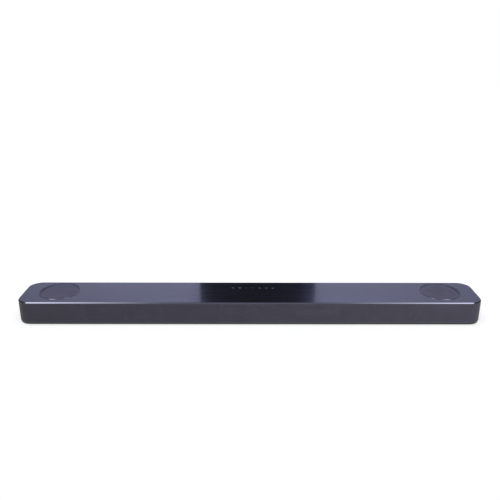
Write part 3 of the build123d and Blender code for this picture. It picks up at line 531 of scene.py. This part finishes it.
class Sheet:
    """A mesh of two skins joined through its holes. Points are shared where they fall together."""

    def __init__(self, place):
        self.place = place
        self.vertices = []
        self.faces = []
        self.seen = {}

    def point(self, s, t, inner):
        key = (round(s / MM * SHARING_STEPS), round(t / MM * SHARING_STEPS), inner)
        if key not in self.seen:
            self.seen[key] = len(self.vertices)
            self.vertices.append(self.place(s, t, inner))
        return self.seen[key]

    def patch(self, points):
        """A plain patch on both skins."""
        self.faces.append([self.point(s, t, 0) for s, t in points])
        self.faces.append([self.point(s, t, 1) for s, t in reversed(points)])

    def cell(self, s, t, width, height, hole):
        """A rectangle with a round hole, split into quads on both skins and down the hole."""
        count = len(CELL_EDGE)
        rim = []
        edge = []
        for k, (side_x, side_y) in enumerate(CELL_EDGE):
            turn = 2 * math.pi * k / count
            rim.append((s + hole * math.cos(turn), t + hole * math.sin(turn)))
            edge.append((s + side_x * width / 2, t + side_y * height / 2))
        for k in range(count):
            n = (k + 1) % count
            self.patch([rim[k], edge[k], edge[n], rim[n]])
            self.wall([rim[n], rim[k]])

    def wall(self, points):
        """Closes the sheet along an open edge, walked with the sheet on its left."""
        for a, b in zip(points, points[1:]):
            self.faces.append([self.point(*b, 0), self.point(*a, 0), self.point(*a, 1), self.point(*b, 1)])

    def finish(self, name, slot):
        return solid_piece(name, slot, self.vertices, self.faces, SHEET_CREASE)


def grille_place():
    """From a length along the grille, measured from its middle, to a point on its outer or inner skin."""
    low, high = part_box("front_grille")
    half_front = high.x - CORNER_RADIUS
    front_y = low.y
    arc = CORNER_RADIUS * math.pi / 2

    def place(s, z, inner):
        side = math.copysign(1, s)
        run = abs(s)
        depth = GRILLE_SHEET * inner
        if run <= half_front:
            return (s, front_y + depth, z)
        if run <= half_front + arc:
            turn = (run - half_front) / CORNER_RADIUS
            reach = CORNER_RADIUS - depth
            return (
                side * (half_front + reach * math.sin(turn)),
                front_y + CORNER_RADIUS - reach * math.cos(turn),
                z,
            )
        return (side * (high.x - depth), front_y + CORNER_RADIUS + run - half_front - arc, z)

    half_length = half_front + arc + (high.y - front_y - CORNER_RADIUS)
    return place, half_length, low.z, high.z


def make_front_grille():
    """Three lengths of the wrapped grille: the front and the two ends."""
    place, half_length, bottom, top = grille_place()
    row_height = GRILLE_PITCH * math.sqrt(3) / 2
    rows = int((top - bottom - GRILLE_BORDER) / row_height)
    margin = (top - bottom - rows * row_height) / 2
    # a multiple of six, so that each third of the grille has an even number of columns
    columns = int((half_length - GRILLE_END_BORDER) * 2 / GRILLE_PITCH) // 6 * 6
    start = -columns / 2 * GRILLE_PITCH
    pieces = []
    for index, name in enumerate(("left", "middle", "right")):
        first = columns // 3 * index
        last = first + columns // 3
        sheet = Sheet(place)
        left, right = start + first * GRILLE_PITCH, start + last * GRILLE_PITCH
        ends = [left, right]
        steps = [left + GRILLE_PITCH / 2 * k for k in range(2 * (last - first) + 1)]
        heights = [bottom + margin + row_height / 2 * k for k in range(2 * rows + 1)]
        for row in range(rows):
            z = bottom + margin + (row + 0.5) * row_height
            shift = GRILLE_PITCH / 2 * (row % 2)
            for column in range(first, last - row % 2):
                s = start + (column + 0.5) * GRILLE_PITCH + shift
                sheet.cell(s, z, GRILLE_PITCH, row_height, GRILLE_HOLE)
            # a shifted row leaves half a cell plain at each end
            if row % 2:
                half, rise = GRILLE_PITCH / 4, row_height / 2
                for s in (left + half, right - half):
                    sheet.patch([
                        (s - half, z - rise), (s + half, z - rise), (s + half, z),
                        (s + half, z + rise), (s - half, z + rise), (s - half, z),
                    ])
        # plain borders along the bottom and the top
        for a, b in zip(steps, steps[1:]):
            sheet.patch([(a, bottom), (b, bottom), (b, heights[0]), (a, heights[0])])
            sheet.patch([(a, heights[-1]), (b, heights[-1]), (b, top), (a, top)])
        levels = [bottom, *heights, top]
        # plain ends of the sheet
        if index == 0:
            ends[0] = -half_length
            for a, b in zip(levels, levels[1:]):
                sheet.patch([(-half_length, a), (left, a), (left, b), (-half_length, b)])
        if index == 2:
            ends[1] = half_length
            for a, b in zip(levels, levels[1:]):
                sheet.patch([(right, a), (half_length, a), (half_length, b), (right, b)])
        along = sorted({*steps, *ends})
        sheet.wall([(s, bottom) for s in along])
        sheet.wall([(ends[1], z) for z in levels])
        sheet.wall([(s, top) for s in reversed(along)])
        sheet.wall([(ends[0], z) for z in reversed(levels)])
        pieces.append(sheet.finish(f"grille_{name}", "grille_metal"))
    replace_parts(pieces[1], "front_grille")
    return pieces


def disc_place(node):
    """From a point on the disc to one on its upper or lower skin. The disc leans towards the front."""
    low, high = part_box(node)
    centre = (low + high) / 2
    radius = (high.x - low.x) / 2
    lean = math.asin((high.z - low.z - DISC_SHEET) / (2 * radius))
    forward = Vector((0, math.cos(lean), math.sin(lean)))
    up = Vector((0, -math.sin(lean), math.cos(lean)))

    def place(s, t, inner):
        return tuple(centre + Vector((s, 0, 0)) + forward * t + up * DISC_SHEET * (0.5 - inner))

    return place, radius


def steps_between(start, end, t, half):
    """Points every half pitch along a level line, leaving out its ends."""
    count = round(abs(end - start) / half)
    return [(start + (end - start) * k / count, t) for k in range(1, count)]


def make_disc(node, name):
    """A perforated round disc: rows of cells out to a margin, and a plain ring round them."""
    place, radius = disc_place(node)
    row_height = DISC_PITCH * math.sqrt(3) / 2
    sheet = Sheet(place)
    reach = radius - DISC_BORDER
    rows = int(reach / row_height) * 2 + 1
    half = DISC_PITCH / 2
    spans = []
    for row in range(rows):
        t = (row - rows // 2) * row_height
        far = abs(t) + row_height / 2
        count = int(math.sqrt(max(reach * reach - far * far, 0)) * 2 / DISC_PITCH)
        if count % 2 != (row % 2):
            count -= 1
        for column in range(count):
            sheet.cell((column - (count - 1) / 2) * DISC_PITCH, t, DISC_PITCH, row_height, DISC_HOLE)
        spans.append((count * half, t))
    # the stepped edge of the cells, as one closed line walked anticlockwise
    edge = []
    for index, (span, t) in enumerate(spans):
        for step in (-1, 0, 1):
            edge.append((span, t + step * row_height / 2))
        if index + 1 < len(spans):
            edge += steps_between(span, spans[index + 1][0], t + row_height / 2, half)
    top_span, top_t = spans[-1]
    edge += steps_between(top_span, -top_span, top_t + row_height / 2, half)
    for index in reversed(range(len(spans))):
        span, t = spans[index]
        for step in (1, 0, -1):
            edge.append((-span, t + step * row_height / 2))
        if index:
            edge += steps_between(-span, -spans[index - 1][0], t - row_height / 2, half)
    edge += steps_between(-spans[0][0], spans[0][0], spans[0][1] - row_height / 2, half)
    line = [p for p, q in zip(edge, [edge[-1], *edge]) if math.dist(p, q) > SAME_POINT]
    turns = [math.atan2(t, s) for s, t in line]
    rim = [(radius * math.cos(turn), radius * math.sin(turn)) for turn in turns]
    for k in range(len(line)):
        n = (k + 1) % len(line)
        if math.dist(rim[k], rim[n]) > SAME_POINT:
            sheet.patch([line[k], rim[k], rim[n], line[n]])
        else:
            sheet.patch([line[k], rim[k], line[n]])
    sheet.wall([*rim, rim[0]])
    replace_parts(sheet.finish(name, "mesh_metal"), node)


# ---------------------------------------------------------------- dish rings
RING_SEGMENTS = 160
RING_CREASE = 40
LIP_HEIGHT = 0.7 * MM
LIP_FOOT = 1.6 * MM
COLLAR_RADIUS = 46.9 * MM
NECK_RADIUS = 39.5 * MM
# Lower and upper face of the flange, above the foot of the ring
FLANGE_Z = (1.8 * MM, 3.4 * MM)
# Radius in millimetres, and height as a share of the lip's
LIP_PROFILE = ((46.9, 0.0), (46.2, 0.92), (46.05, 1.0), (45.9, 0.92), (45.8, 0.0))
# Radius in millimetres, and how far down from the deck (0) to the perforated disc (1)
RING_STEPS = (
    (45.8, 0.04), (45.3, 0.16), (44.5, 0.2), (44.2, 0.38), (43.4, 0.42), (43.1, 0.6),
    (42.3, 0.64), (42.0, 0.84), (41.2, 0.9), (41.0, 1.0),
)


def lathe(name, slot, centre, profile):
    """A closed ring. profile gives the (radius, z) points of its section at an angle."""
    sections = [profile(2 * math.pi * k / RING_SEGMENTS) for k in range(RING_SEGMENTS)]
    count = len(sections[0])
    vertices = []
    faces = []
    for k, section in enumerate(sections):
        turn = 2 * math.pi * k / RING_SEGMENTS
        vertices += [(centre.x + r * math.cos(turn), centre.y + r * math.sin(turn), z) for r, z in section]
        here, there = k * count, (k + 1) % RING_SEGMENTS * count
        for n in range(count):
            m = (n + 1) % count
            faces.append((here + n, there + n, there + m, here + m))
    return solid_piece(name, slot, vertices, faces, RING_CREASE)


def make_ring(side):
    """The dished ring: a metal lip proud of the deck, steps down to the disc, and a flange below."""
    node = f"upfire_bezel_{side}"
    low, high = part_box(node)
    disc_low, disc_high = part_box(f"upfire_grille_{side}")
    centre = (low + high) / 2
    flange = (high.x - low.x) / 2
    drop = high.z - (disc_low.z + disc_high.z) / 2
    slope = (disc_high.z - disc_low.z - DISC_SHEET) / (disc_high.x - disc_low.x)

    def ring_section(turn):
        """Steps at a share of the way down from the deck to the leaning plane of the disc."""
        lean = [(r * MM, fall, drop - r * MM * math.sin(turn) * slope) for r, fall in RING_STEPS]
        steps = [(r, high.z - fall * depth) for r, fall, depth in lean]
        seat_z = steps[-1][1] - DISC_SHEET
        bottom, top = low.z + FLANGE_Z[0], low.z + FLANGE_Z[1]
        return [
            (COLLAR_RADIUS, low.z), (COLLAR_RADIUS, bottom), (flange, bottom), (flange, top),
            (COLLAR_RADIUS, top), (COLLAR_RADIUS, high.z - LIP_FOOT), (steps[0][0], high.z - LIP_FOOT),
            *steps, (steps[-1][0], seat_z), (NECK_RADIUS, seat_z), (NECK_RADIUS, low.z),
        ]

    def lip_section(turn):
        foot = high.z - LIP_FOOT
        rim = [(r * MM, high.z + share * LIP_HEIGHT) for r, share in LIP_PROFILE]
        return [(rim[0][0], foot), *rim, (rim[-1][0], foot)]

    ring = lathe(f"dish_ring_{side}", "bezel_plastic", centre, ring_section)
    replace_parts(ring, node)
    lathe(f"dish_lip_{side}", "deck_metal", centre, lip_section)


make_camera()
make_world()
make_floor()
make_dark_card()
dress_cad_nodes()
make_side_light(make_front_grille())
for side in ("left", "right"):
    make_disc(f"upfire_grille_{side}", f"speaker_disc_{side}")
    make_ring(side)

bpy.context.scene.view_settings.view_transform = "Standard"
